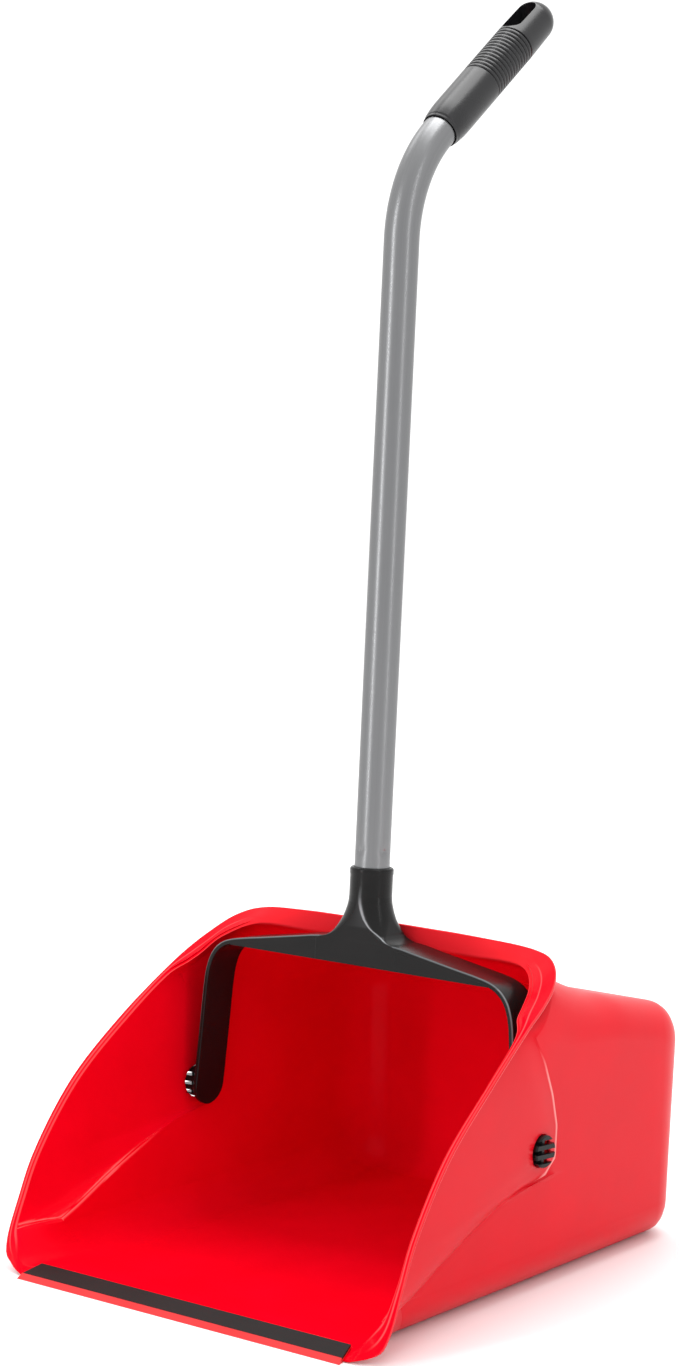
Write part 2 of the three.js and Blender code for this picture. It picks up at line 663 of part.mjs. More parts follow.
function grip() {
  const bore = HANDLE.tubeRadius + GAP;
  const profile = [[0, GRIP.bore], [bore, GRIP.bore], [bore, 0], [GRIP.mouthRadius, 0],
    [GRIP.mouthRadius, GRIP.mouth], [GRIP.radius, GRIP.swell]];
  for (let k = 0; k < GRIP.rings; k++) {
    const s = GRIP.ringStart + k * GRIP.ringPitch;
    profile.push([GRIP.radius, s], [GRIP.radius - GRIP.ringDepth, s + GRIP.ringWidth / 2],
      [GRIP.radius, s + GRIP.ringWidth]);
  }
  const dome = GRIP.length - GRIP.radius;
  for (let k = 0; k <= 6; k++) {
    const angle = k / 6 * Math.PI / 2;
    profile.push([GRIP.radius * Math.cos(angle), dome + GRIP.radius * Math.sin(angle)]);
  }
  profile[profile.length - 1][0] = 0;
  const outline = profile.map(([r, s]) => new THREE.Vector2(r, s));
  const turned = new THREE.LatheGeometry(outline, SIDES.grip).rotateX(Math.PI / 2);
  const half = GRIP.slotWidth / 2;
  const [low, high] = [GRIP.slotStart + half, GRIP.slotEnd - half];
  const through = 2 * GRIP.radius;
  const slot = block(-half, half, -through, through, low, high)
    .add(rod('y', half, -through, through, [0, low], SIDES.slot))
    .add(rod('y', half, -through, through, [0, high], SIDES.slot));
  const mesh = namedMesh('grip', toGeometry(toSolid(turned).subtract(slot)), blackPlastic());
  mesh.rotation.x = -bendEnd.angle;
  mesh.position.copy(pastBend(GRIP.start));
  return mesh;
}

// ---------------------------------------------------------------- assembly

const handle = new THREE.Group();
handle.position.set(0, PIVOT.y, PIVOT.z);
handle.rotation.x = -HANDLE.lean;
handle.add(yoke(), tubeInsert(), handleTube(), grip());

const dustpan = new THREE.Group();
dustpan.add(pan(), ...lip(), handle);
dustpan.position.y = -MIDDLE_Y;

export default dustpan;
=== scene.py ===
"""Upright lobby dustpan: the visual model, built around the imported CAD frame.

Lengths are millimetres and become metres in make_object(). The pan is drawn with its lip edge at
Y = 0 and its underside at Z = 0. The handle is drawn square, with the pivot at the origin, the
tube's axis along W and V pointing backwards, and is then leaned back onto its pivot.
"""

import json
import math

import bmesh
import bpy
import numpy as np
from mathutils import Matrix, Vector


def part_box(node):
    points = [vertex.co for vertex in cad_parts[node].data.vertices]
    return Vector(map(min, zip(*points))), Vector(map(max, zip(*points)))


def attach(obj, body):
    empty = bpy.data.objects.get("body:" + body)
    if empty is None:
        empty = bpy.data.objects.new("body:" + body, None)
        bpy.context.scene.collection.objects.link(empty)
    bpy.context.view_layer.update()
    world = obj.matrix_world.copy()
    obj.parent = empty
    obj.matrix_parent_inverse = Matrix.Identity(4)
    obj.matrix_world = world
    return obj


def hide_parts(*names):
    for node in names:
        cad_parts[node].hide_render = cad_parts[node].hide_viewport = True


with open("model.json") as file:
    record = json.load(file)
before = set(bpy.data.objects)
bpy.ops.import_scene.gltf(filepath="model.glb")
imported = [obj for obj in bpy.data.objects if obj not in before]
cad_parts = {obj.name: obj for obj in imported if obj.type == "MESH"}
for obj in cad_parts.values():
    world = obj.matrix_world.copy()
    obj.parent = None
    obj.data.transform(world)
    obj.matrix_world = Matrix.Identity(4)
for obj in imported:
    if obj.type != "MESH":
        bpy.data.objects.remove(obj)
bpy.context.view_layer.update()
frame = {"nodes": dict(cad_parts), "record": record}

MM = 0.001
MERGE = 0.02                      # points closer than this are one point
FILLET_STEPS = 4
FILLET_SHARE = 0.45               # the most that a fillet takes of the side next to it
NOISE_LOW, NOISE_HIGH = 0.3, 0.7  # the range that most of a noise texture's values lie in
JOINT = frame["record"]["behaviour"]["joints"][0]
PIVOT = [value / MM for value in JOINT["pos_m"]]
LIP_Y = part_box("lip_base_strip")[0].y / MM
LEAN = math.radians(4.2)


# ---------------------------------------------------------------- helpers

def clamp(value, low=0.0, high=1.0):
    return max(low, min(high, value))


def lerp(a, b, t):
    return a + (b - a) * t


def smoothstep(value, low, high):
    t = clamp((value - low) / (high - low))
    return t * t * (3 - 2 * t)


def table(pairs, x):
    """Straight-line interpolation through (input, output) pairs."""
    return float(np.interp(x, [p[0] for p in pairs], [p[1] for p in pairs]))


def spline(line, t):
    """Centripetal Catmull-Rom curve through a line's points; t counts the points from 0."""
    last = len(line) - 1
    k = min(int(t), last - 1)
    p1, p2 = line[k], line[k + 1]
    p0 = line[k - 1] if k > 0 else 2 * p1 - p2
    p3 = line[k + 2] if k + 2 <= last else 2 * p2 - p1
    knots = [0.0]
    for a, b in ((p0, p1), (p1, p2), (p2, p3)):
        knots.append(knots[-1] + max(1e-6, float(np.linalg.norm(b - a))) ** 0.5)
    t0, t1, t2, t3 = knots
    x = lerp(t1, t2, t - k)
    a1 = ((t1 - x) * p0 + (x - t0) * p1) / (t1 - t0)
    a2 = ((t2 - x) * p1 + (x - t1) * p2) / (t2 - t1)
    a3 = ((t3 - x) * p2 + (x - t2) * p3) / (t3 - t2)
    b1 = ((t2 - x) * a1 + (x - t0) * a2) / (t2 - t0)
    b2 = ((t3 - x) * a2 + (x - t1) * a3) / (t3 - t1)
    return ((t2 - x) * b1 + (x - t1) * b2) / (t2 - t1)


def points(*rows):
    return [np.array(row, float) for row in rows]


def unit(vector):
    return vector / max(1e-9, float(np.linalg.norm(vector)))


def fillet(before, corner, after, radius):
    """Points that round a corner of a polyline off."""
    start, end = (corner + unit(side - corner)
                  * min(radius, np.linalg.norm(side - corner) * FILLET_SHARE)
                  for side in (before, after))
    steps = [k / FILLET_STEPS for k in range(FILLET_STEPS + 1)]
    return [start * (1 - t) ** 2 + corner * 2 * t * (1 - t) + end * t * t for t in steps]


def from_pan(p):
    return (p[0], p[1] + LIP_Y, p[2])


def from_handle(p):
    x, v, w = p
    return (x, PIVOT[1] + v * math.cos(LEAN) + w * math.sin(LEAN),
            PIVOT[2] + w * math.cos(LEAN) - v * math.sin(LEAN))


class Build:
    """Collects vertices and faces of one piece."""

    def __init__(self):
        self.verts = []
        self.faces = []
        self.slots = []
        self.uvs = []

    def add(self, verts, faces, slots=None, uvs=None):
        base = len(self.verts)
        self.verts.extend(verts)
        self.faces.extend([[base + i for i in face] for face in faces])
        self.slots.extend(slots if slots else [0] * len(faces))
        self.uvs.extend(uvs if uvs else [(0.0, 0.0)] * len(verts))

    def rings(self, rings, painted_highlights=None, uvs=None):
        """Skin over rings of equal length, with flat ends; optional per-point amounts paint
        highlights on the material's edges by lightening its colour.
        """
        count = len(rings[0])
        faces = []
        for r in range(len(rings) - 1):
            for i in range(count):
                a, b = r * count + i, r * count + (i + 1) % count
                faces.append([a, b, b + count, a + count])
        faces.append(list(range(count))[::-1])
        faces.append([(len(rings) - 1) * count + i for i in range(count)])
        if painted_highlights:
            uvs = [(float(highlight), 0.0) for ring in painted_highlights for highlight in ring]
        self.add([p for ring in rings for p in ring], faces, uvs=uvs)


def make_object(build, name, materials, place, sharp=32.0, weighted=True):
    """Mesh object of a build; place turns its millimetres into the shared frame's."""
    mesh = bpy.data.meshes.new(name)
    mesh.from_pydata([Vector(place(p)) * MM for p in build.verts], [], build.faces)
    layer = mesh.uv_layers.new(name="along")
    for loop in mesh.loops:
        layer.data[loop.index].uv = build.uvs[loop.vertex_index]
    for material in materials:
        mesh.materials.append(material)
    for polygon, slot in zip(mesh.polygons, build.slots):
        polygon.material_index = slot
        polygon.use_smooth = True
    mesh.validate()
    obj = bpy.data.objects.new(name, mesh)
    bpy.context.scene.collection.objects.link(obj)
    outward(mesh)
    mesh.set_sharp_from_angle(angle=math.radians(sharp))
    if weighted:
        modifier = obj.modifiers.new("normals", "WEIGHTED_NORMAL")
        modifier.keep_sharp = True
    return obj


def outward(mesh):
    """Makes the faces of every closed shell point outwards."""
    work = bmesh.new()
    work.from_mesh(mesh)
    bmesh.ops.remove_doubles(work, verts=work.verts, dist=MERGE * MM)
    bmesh.ops.recalc_face_normals(work, faces=work.faces)
    work.to_mesh(mesh)
    work.free()


def cut(obj, cutter):
    """Subtracts one object from another for good, and removes the cutter."""
    others = list(obj.modifiers)
    for modifier in others:
        modifier.show_viewport = False
    difference = obj.modifiers.new("cut", "BOOLEAN")
    difference.operation = "DIFFERENCE"
    difference.solver = "EXACT"
    difference.object = cutter
    graph = bpy.context.evaluated_depsgraph_get()
    mesh = bpy.data.meshes.new_from_object(obj.evaluated_get(graph))
    obj.modifiers.remove(difference)
    for modifier in others:
        modifier.show_viewport = True
    obj.data = mesh
    bpy.data.objects.remove(cutter)


def bevel(obj, width_mm, segments, degrees):
    """Rounds the edges sharper than an angle."""
    modifier = obj.modifiers.new("edges", "BEVEL")
    modifier.width = width_mm * MM
    modifier.segments = segments
    modifier.limit_method = "ANGLE"
    modifier.angle_limit = math.radians(degrees)


# ---------------------------------------------------------------- materials

def shader(name, color, roughness, metallic=0.0, specular=0.5):
    material = bpy.data.materials.new(name)
    material.use_nodes = True
    nodes = material.node_tree.nodes
    bsdf = nodes["Principled BSDF"]
    bsdf.inputs["Metallic"].default_value = metallic
    bsdf.inputs["Specular IOR Level"].default_value = specular
    bsdf.inputs["Base Color"].default_value = (*color, 1)
    bsdf.inputs["Roughness"].default_value = roughness
    return material, nodes, material.node_tree.links, bsdf


def noise(nodes, links, scale, detail=4.0, stretch=None, coordinate="Object"):
    coordinates = nodes.new("ShaderNodeTexCoord")
    texture = nodes.new("ShaderNodeTexNoise")
    texture.inputs["Scale"].default_value = scale
    texture.inputs["Detail"].default_value = detail
    if stretch:
        mapping = nodes.new("ShaderNodeMapping")
        mapping.inputs["Scale"].default_value = stretch
        links.new(coordinates.outputs[coordinate], mapping.inputs["Vector"])
        links.new(mapping.outputs["Vector"], texture.inputs["Vector"])
    else:
        links.new(coordinates.outputs[coordinate], texture.inputs["Vector"])
    return texture.outputs["Fac"]


def spread(nodes, links, value, low, high):
    """Maps a noise value onto a range."""
    ranged = nodes.new("ShaderNodeMapRange")
    ranged.inputs["From Min"].default_value = NOISE_LOW
    ranged.inputs["From Max"].default_value = NOISE_HIGH
    ranged.inputs["To Min"].default_value = low
    ranged.inputs["To Max"].default_value = high
    links.new(value, ranged.inputs["Value"])
    return ranged.outputs["Result"]


def tint(nodes, links, value, dark, light):
    """Maps a noise value onto colours between dark and light."""
    ramp = nodes.new("ShaderNodeValToRGB")
    ramp.color_ramp.elements[0].position = NOISE_LOW
    ramp.color_ramp.elements[1].position = NOISE_HIGH
    ramp.color_ramp.elements[0].color = (*dark, 1)
    ramp.color_ramp.elements[1].color = (*light, 1)
    links.new(value, ramp.inputs["Fac"])
    return ramp.outputs["Color"]


def bump(nodes, links, height, distance_mm, below=None):
    node = nodes.new("ShaderNodeBump")
    node.inputs["Distance"].default_value = distance_mm * MM
    node.inputs["Strength"].default_value = 1.0
    links.new(height, node.inputs["Height"])
    if below:
        links.new(below, node.inputs["Normal"])
    return node.outputs["Normal"]


CLOUD_SCALE, WAVE_SCALE = 14.0, 22.0


def moulded(name, dark, light, rough, grain_scale, grain_mm, wave_mm, specular=0.5, edge=None):
    """Moulded plastic: cloudy colour, uneven gloss, fine grain over slow waves.

    With edge, the points marked in the mesh's first UV channel get a painted highlight: their base
    colour is mixed towards the edge colour there.
    """
    material, nodes, links, bsdf = shader(name, light, rough[0], specular=specular)
    cloud = noise(nodes, links, CLOUD_SCALE)
    fine = noise(nodes, links, grain_scale, detail=2.0)
    slow = noise(nodes, links, WAVE_SCALE, detail=1.0)
    color = tint(nodes, links, cloud, dark, light)
    # painted highlight: the base colour is lightened towards edge by the UV channel's amount
    if edge:
        painted_highlights = nodes.new("ShaderNodeTexCoord")
        split = nodes.new("ShaderNodeSeparateXYZ")
        links.new(painted_highlights.outputs["UV"], split.inputs["Vector"])
        painted_highlight = nodes.new("ShaderNodeMix")
        painted_highlight.data_type = "RGBA"
        painted_highlight.inputs["B"].default_value = (*edge, 1)
        links.new(split.outputs["X"], painted_highlight.inputs["Factor"])
        links.new(color, painted_highlight.inputs["A"])
        color = painted_highlight.outputs["Result"]
    links.new(color, bsdf.inputs["Base Color"])
    links.new(spread(nodes, links, cloud, *rough), bsdf.inputs["Roughness"])
    waves = bump(nodes, links, slow, wave_mm)
    links.new(bump(nodes, links, fine, grain_mm, below=waves), bsdf.inputs["Normal"])
    return material


# The pan's inside and outside are one red plastic. The inside's base colour is painted lighter and
# the outside's darker: painted light and shade for how the light falls on each.
RED_GLOSS_PAINTED_LIGHTER = moulded("red gloss painted lighter", (0.77, 0.0005, 0.009), (0.84, 0.0008, 0.012), (0.12, 0.17),
                    900.0, 0.002, 0.05, specular=0.02, edge=(0.95, 0.16, 0.16))
RED_GRAIN_PAINTED_DARKER = moulded("red fine grain painted darker", (0.57, 0.0016, 0.009), (0.63, 0.0024, 0.011), (0.30, 0.38),
                    1400.0, 0.020, 0.10, specular=0.13, edge=(0.85, 0.30, 0.29))
# The edge colours of the two reds above and of this black are painted highlight colours, mixed into
# the base colour along the edges.
BLACK_SATIN = moulded("black satin", (0.005, 0.005, 0.005), (0.008, 0.0076, 0.0076), (0.20, 0.28),
                      1800.0, 0.006, 0.05, specular=0.18, edge=(0.42, 0.44, 0.46))
GRIP_SATIN = moulded("grip satin", (0.004, 0.004, 0.005), (0.008, 0.008, 0.009), (0.24, 0.32),
                     1500.0, 0.010, 0.008, specular=0.45)
LIP_RED = moulded("lip red", (0.60, 0.030, 0.032), (0.68, 0.040, 0.042), (0.40, 0.50),
                  1200.0, 0.015, 0.05, specular=0.15)
LIP_BLACK = moulded("lip black", (0.009, 0.008, 0.008), (0.015, 0.013, 0.013), (0.44, 0.54),
                    1100.0, 0.020, 0.05, specular=0.12)
NATURAL = moulded("natural plastic", (0.66, 0.65, 0.60), (0.76, 0.75, 0.71), (0.40, 0.50),
                  1200.0, 0.015, 0.05)


def drawn_metal():
    """Satin tube: faint lines along the drawing direction and soft clouding."""
    material, nodes, links, bsdf = shader("drawn metal", (0.212, 0.214, 0.218), 0.32, metallic=1.0)
    lines = noise(nodes, links, 1.0, detail=3.0, stretch=(260.0, 2.0, 1.0), coordinate="UV")
    cloud = noise(nodes, links, 30.0)
    links.new(tint(nodes, links, lines, (0.203, 0.205, 0.209), (0.221, 0.223, 0.227)),
              bsdf.inputs["Base Color"])
    links.new(spread(nodes, links, cloud, 0.31, 0.34), bsdf.inputs["Roughness"])
    links.new(bump(nodes, links, lines, 0.00004), bsdf.inputs["Normal"])
    return material


METAL = drawn_metal()

# ---------------------------------------------------------------- pan

PAN_WALL = 2.8
FLOOR_RADIUS = 28.0
SIDE_X = 161.2
BACK_Y = 421.6
BACK_LEAN = 0.06
CORNER_UPRIGHT = 34.0             # radius between side wall and back wall
CORNER_LEVEL = 18.0               # radius between floor or hood and back wall
HOOD_Y = 249.5
RISE = 3.8                        # the floor is this much higher behind the lip,
RISE_START, RISE_END = 22, 82     # and comes down between these Y
DRAFT_FRONT, DRAFT_BACK = 0.065, 0.03  # lean of the side walls at the pivot and at the back
WALL_TOP = [(200, 200), (252, 184), (328, 174), (420, 153)]    # (Y, height of the side wall)
CORNER_WIDTH = [(252, 57), (335, 29)]                          # (Y, width of the hood's corner)
CEILING_Y, CEILING_Z = 328, 204   # where the hood's slope begins to steepen towards the mouth
CEILING_SLOPE, CEILING_CURVE = 0.25, 0.00312
CLOSING_CORNER = 18               # how much smaller the long corners get at the back wall
CLOSING_HOOD = 0.6                # the share that the hood's corners lose of their height there
BACK_MIDDLE = 92.0                # height at which the back wall's lines meet
HOLE_RADIUS = 12.9                # holes that the yoke's hubs turn in
HOLE_REACH = (155, 190)           # X between which they are cut
PIVOT_Y = PIVOT[1] - LIP_Y
PIVOT_Z = PIVOT[2]

# Outer and inner edge of the rim on the right, from the middle of the floor to the middle of the
# hood. Each zone's points are shared out evenly over its lines.
ZONES = {"floor": (0, 1), "foot": (1, 7), "wall": (7, 12), "corner": (12, 18), "top": (18, 21)}
RIM_OUTER = points(
    (0, 6.6, 0.75), (153, 6.6, 0.75),
    (157, 6.2, 1.6), (162, 6.2, 2.4), (169, 8.6, 3.4), (177, 12.4, 6), (183.5, 14.5, 10.5),
    (187.3, 19.5, 22), (187.8, 33, 52), (187.2, 48, 82), (185.4, 89, 133), (182.2, 145, 176),
    (177.5, 196, 208), (175, 218, 220), (169.5, 238, 231), (160, 253, 241), (148, 261, 247),
    (136, 262, 250), (122, 259, 252.5), (80, 251.5, 255.6), (40, 250, 256.2), (0, 250, 256.5))
RIM_INNER = points(
    (0, 22, 6.4), (151, 22, 6.4),
    (156, 16, 6), (161, 10.5, 7.5), (166, 10.5, 11), (170.5, 13, 16), (175, 17, 22),
    (179.5, 21, 29), (181.8, 34, 53), (181.5, 49.5, 82), (179.5, 90.5, 132), (176.5, 146, 174),
    (170.5, 189, 203), (162, 201, 211), (158, 213, 217.5), (154, 226, 226), (147, 237, 232),
    (138, 245, 236.7), (126, 249.5, 239.7), (84, 249.5, 240.2), (42, 249.5, 240.2),
    (0, 249.5, 240.2))
SILL_STEP = (0.9, 4.8)
AHEAD = 8                         # length over which a line's direction at the rim is taken

# Where each line leaves the flared front and joins the straight box: (fraction of zone, Y).
FLARE_END = {
    "floor": [(0, 82), (1, 82)],
    "foot": [(0, 82), (1, 56)],
    "wall": [(0, 56), (0.15, 112), (0.3, 180), (0.36, 228), (0.44, 241), (0.6, 241),
             (0.75, 233), (0.9, 220), (1, 206)],
    "corner": [(0, 206), (1, 300)],
    "top": [(0, 300), (1, 300)],
}

# The seam between the flared wings and the box, as (distance from the seam, share of the step).
# Inside it is a narrow ledge, outside a small step with a rounded riser.
LEDGE_HEIGHT = 1.3
LEDGE = [(0, 1), (0.2, 0.99), (0.55, 0.93), (0.9, 0.81), (1.2, 0.70), (2.6, 0.16), (3.0, 0.03),
         (3.4, 0)]
LEDGE_FADE = 24.0
SEAM_STEP = 0.7
SEAM = [(0, 0), (0.2, 0.05), (0.55, 0.34), (0.9, 0.64), (1.2, 0.92), (1.7, 1)]
SEAM_FADE = 22.0
SEAM_RISER = 1.2                  # width of the step
RIM_RIDGE = 0.9
RIM_SOFT, INNER_SOFT = 1.0, 1.4   # radii on the rim's edges and where the rim meets the inside
ON_SEAM = 0.3                     # a point this close to the seam lies on it
LEDGE_END = (140, 205)            # the ledge dies out between these Y

# Painted highlights along the mould's edges, as (distance from the seam, amount): the colour is
# lightened where the edges would catch the light.
LEDGE_PAINTED_HIGHLIGHTS = [(0, 0.75), (0.2, 0.75), (0.55, 0.1), (0.9, 0), (2.6, 0), (3.0, 0.75), (3.4, 0.75),
               (3.8, 0)]
LEDGE_PAINTED_HIGHLIGHT_END = (110, 175)       # the ledge's marks die out between these Y,
KINK, KINK_PAINTED_HIGHLIGHT = (242, 86), (8, 13)   # apart from round the seam's kink: (Y, Z), (radii)
RIM_PAINTED_HIGHLIGHTS = (0.4, 0.3, 0.4, 0.35)      # on the rim's four rounded edges, outermost first
# painted sheen over the rim along the hood
FLANGE_PAINTED_SHEEN = 0.11
FOOT_PAINTED_HIGHLIGHT, FOOT_PAINTED_HIGHLIGHT_END = 0.9, 0.02   # on the lowest part of each wing
SEAM_PAINTED_HIGHLIGHTS = [(0, 0), (0.2, 0.6), (0.55, 1), (0.9, 1), (1.2, 0.4), (1.5, 0)]
SEAM_PAINTED_HIGHLIGHT_END = (0.8, 0.97)       # fractions of the wall between which they die out


def floor_height(y):
    return PAN_WALL + RISE * (1 - smoothstep(y, RISE_START, RISE_END))


def side_wall(y, z):
    share = clamp((y - PIVOT_Y) / (BACK_Y - PIVOT_Y))
    return SIDE_X + z * lerp(DRAFT_FRONT, DRAFT_BACK, share)


def ceiling(y):
    ahead = CEILING_Y - max(y, HOOD_Y)
    return CEILING_Z + CEILING_SLOPE * ahead + CEILING_CURVE * max(0.0, ahead) ** 2


def box_point(zone, f, y, closing=0.0):
    """Inside of the straight part; closing goes from 0 to 1 where it rounds into the back."""
    low = floor_height(y) + CORNER_LEVEL * closing
    high = ceiling(y) - CORNER_LEVEL * closing
    r = FLOOR_RADIUS - CLOSING_CORNER * closing
    rx = table(CORNER_WIDTH, y) - CLOSING_CORNER * closing
    rz = (ceiling(y) - table(WALL_TOP, y)) * (1 - CLOSING_HOOD * closing)
    inset = CORNER_UPRIGHT * closing
    foot_x = side_wall(y, low + r) - inset - r
    top = high - rz
    angle = f * math.pi / 2
    if zone == "floor":
        return np.array((f * foot_x, y, low))
    if zone == "foot":
        return np.array((foot_x + r * math.sin(angle), y, low + r * (1 - math.cos(angle))))
    if zone == "wall":
        z = lerp(low + r, top, f)
        return np.array((side_wall(y, z) - inset, y, z))
    shoulder = side_wall(y, top) - inset - rx
    if zone == "corner":
        return np.array((shoulder + rx * math.cos(angle), y, top + rz * math.sin(angle)))
    return np.array(((1 - f) * shoulder, y, high))


def back_radius(zone, f):
    """Radius with which a line turns into the back wall."""
    if zone == "wall":
        return CORNER_UPRIGHT
    if zone == "foot":
        return lerp(CORNER_LEVEL, CORNER_UPRIGHT, smoothstep(f, 0, 1))
    if zone == "corner":
        return lerp(CORNER_UPRIGHT, CORNER_LEVEL, smoothstep(f, 0, 1))
    return CORNER_LEVEL


# Distances of a line's points in front of and behind the seam, and how many there are elsewhere.
BEFORE_SEAM = [5.0, 3.4, 3.0, 2.6, 1.2, 0.9, 0.55, 0.2, 0]
AFTER_SEAM = [0.3, 0.8, 2.4, 6, 14, 30]
FLARE_ROWS = 12
BOX_ROWS = 10
ROUND_ROWS = 9
BACK_ROWS = 5
RIM_ROWS = 3                      # outer edge, middle and inner edge of the rim
SEAM_ROW = RIM_ROWS + FLARE_ROWS + len(BEFORE_SEAM) - 1
NEAR_SHARE = 0.75                 # the most of the flare that the close points before the seam take
STRETCH_MOST = 7.0                # the close points behind it are stretched up to this distance
FLATTEST = 0.3                    # least steepness of the seam that the stretching counts with
BULGE, BULGE_END = 0.3, (0.15, 0.4)    # of the lower wings, and fractions where it dies out
BACK_GAP = 0.25                   # what is left open in the middle of the back wall, in rows
THINNEST = 0.62                   # limits how far a sharp corner of the outer skin moves out


def seam_stretch(zone, f):
    """How far the seam lies from being upright: 1 where it crosses the lines squarely."""
    if zone != "wall":
        return 1.0
    ends = []
    for g in (max(0, f - 0.01), min(1, f + 0.01)):
        y = table(FLARE_END[zone], g)
        ends.append(np.array((y, box_point(zone, g, y)[2])))
    step = unit(ends[1] - ends[0])
    return 1 / max(FLATTEST, abs(step[1]))


def ridge_height(zone, f):
    """How far the rim's middle stands out."""
    if zone == "wall":
        return RIM_RIDGE
    if zone == "foot":
        return RIM_RIDGE * smoothstep(f, 0.4, 0.9)
    if zone == "corner":
        return RIM_RIDGE * (1 - smoothstep(f, 0, 0.3))
    return 0.0


def pan_line(zone, f):
    """Inside line from the rim's outer edge to the middle of the back wall."""
    first, last = ZONES[zone]
    place = lerp(first, last, f)
    outer = spline(RIM_OUTER, place)
    inner = spline(RIM_INNER, place)
    if zone == "floor":
        step = np.array((inner[0], inner[1] - SILL_STEP[0], SILL_STEP[1]))
    else:
        into = box_point(zone, f, inner[1] + AHEAD) - box_point(zone, f, inner[1])
        over = unit(inner - outer)
        front = unit(into - over * float(into @ over))
        step = lerp(outer, inner, 0.5) - front * ridge_height(zone, f)
    line = [outer, step, inner]
    flare_end = table(FLARE_END[zone], f)
    offset = inner - box_point(zone, f, inner[1])
    length = flare_end - inner[1]
    bulge = 1 - smoothstep(f, *BULGE_END) if zone == "wall" else 0.0
    stretch = seam_stretch(zone, f)
    near = min(BEFORE_SEAM[0] * stretch, NEAR_SHARE * length)
    shares = [k / (FLARE_ROWS + 1) * (1 - near / length) for k in range(1, FLARE_ROWS + 1)]
    shares += [1 - d / BEFORE_SEAM[0] * near / length for d in BEFORE_SEAM]
    for t in shares:
        line.append(box_point(zone, f, lerp(inner[1], flare_end, t))
                    + offset * (1 - t) ** (1 - BULGE * bulge))
    for d in AFTER_SEAM:
        line.append(box_point(zone, f, flare_end + min(d * stretch, max(d, STRETCH_MOST))))
    radius = back_radius(zone, f)
    start, stop = flare_end + AFTER_SEAM[-1], BACK_Y - radius
    for k in range(1, BOX_ROWS + 1):
        line.append(box_point(zone, f, lerp(start, stop, k / BOX_ROWS)))
    for k in range(1, ROUND_ROWS + 1):
        angle = k / ROUND_ROWS * math.pi / 2
        y = BACK_Y - radius * (1 - math.sin(angle))
        point = box_point(zone, f, y, 1 - math.cos(angle))
        point[1] += BACK_LEAN * point[2] * math.sin(angle)
        line.append(point)
    centre = np.array((0, BACK_Y + BACK_LEAN * BACK_MIDDLE, BACK_MIDDLE))
    edge = line[-1]
    for k in range(1, BACK_ROWS + 1):
        line.append(lerp(edge, centre, k / (BACK_ROWS + BACK_GAP)))
    return line


def stations():
    """Zones and fractions of the lines, from the middle of the floor to the middle of the hood."""
    fractions = {
        "floor": np.linspace(0, 1, 15),
        "foot": np.concatenate([np.linspace(0, 0.93, 15), [0.965, 0.985, 0.995, 1]]),
        "wall": np.concatenate([
            [0, 0.00125, 0.0034, 0.0056, 0.0075, 0.0162, 0.0187, 0.021, 0.025, 0.031, 0.045, 0.06],
            np.linspace(0.08, 1, 50)]),
        "corner": np.linspace(0, 1, 33)[1:],
        "top": np.linspace(0, 1, 15)[1:],
    }
    found = [("floor", f) for f in fractions["floor"]]
    found += [("foot", f) for f in fractions["foot"][1:-1]]
    for zone in ("wall", "corner", "top"):
        found += [(zone, f) for f in fractions[zone]]
    return found


def vertex_normals(grid):
    """Normals that point into the pan; the first index runs round the mouth."""
    along = np.zeros_like(grid)
    along[:, 1:-1] = grid[:, 2:] - grid[:, :-2]
    along[:, 0] = grid[:, 1] - grid[:, 0]
    along[:, -1] = grid[:, -1] - grid[:, -2]
    around = np.roll(grid, -1, axis=0) - np.roll(grid, 1, axis=0)
    normal = np.cross(around, along)
    return normal / np.maximum(1e-9, np.linalg.norm(normal, axis=2, keepdims=True))


def outer_skin(grid):
    """The grid moved outwards by the wall thickness, square to the faces round each point."""
    count, rows, _ = grid.shape
    a, b = grid[:, :-1], np.roll(grid, -1, axis=0)[:, :-1]
    c, d = np.roll(grid, -1, axis=0)[:, 1:], grid[:, 1:]
    face = np.cross(c - a, d - b)
    face /= np.maximum(1e-9, np.linalg.norm(face, axis=2, keepdims=True))
    total = np.zeros_like(grid)
    for shift in (0, 1):
        rolled = np.roll(face, shift, axis=0)
        total[:, :-1] += rolled
        total[:, 1:] += rolled
    total /= np.maximum(1e-9, np.linalg.norm(total, axis=2, keepdims=True))
    reach = np.ones((count, rows))
    for shift in (0, 1):
        rolled = np.roll(face, shift, axis=0)
        reach[:, :-1] = np.minimum(reach[:, :-1], (rolled * total[:, :-1]).sum(axis=2))
        reach[:, 1:] = np.minimum(reach[:, 1:], (rolled * total[:, 1:]).sum(axis=2))
    moved = grid - total * (PAN_WALL / np.maximum(THINNEST, reach))[:, :, None]
    moved[:, :, 2] = np.maximum(moved[:, :, 2], 0)
    return moved


def seam_distance(grid, names):
    """Distance of every point from the seam between the flared front and the box."""
    walls = [i for i, (zone, _) in enumerate(names) if zone == "wall"]
    foot = [grid[walls[0], k] for k in range(RIM_ROWS - 1, SEAM_ROW)]
    line = np.array(foot + [grid[i, SEAM_ROW] for i in walls])
    a, b = line[:-1], line[1:]
    best = np.full(grid.shape[:2], 1e9)
    for p, q in zip(a, b):
        step = q - p
        t = np.clip(((grid - p) @ step) / max(1e-9, float(step @ step)), 0, 1)
        gap = np.linalg.norm(grid - (p + t[:, :, None] * step), axis=2)
        best = np.minimum(best, gap)
    return best


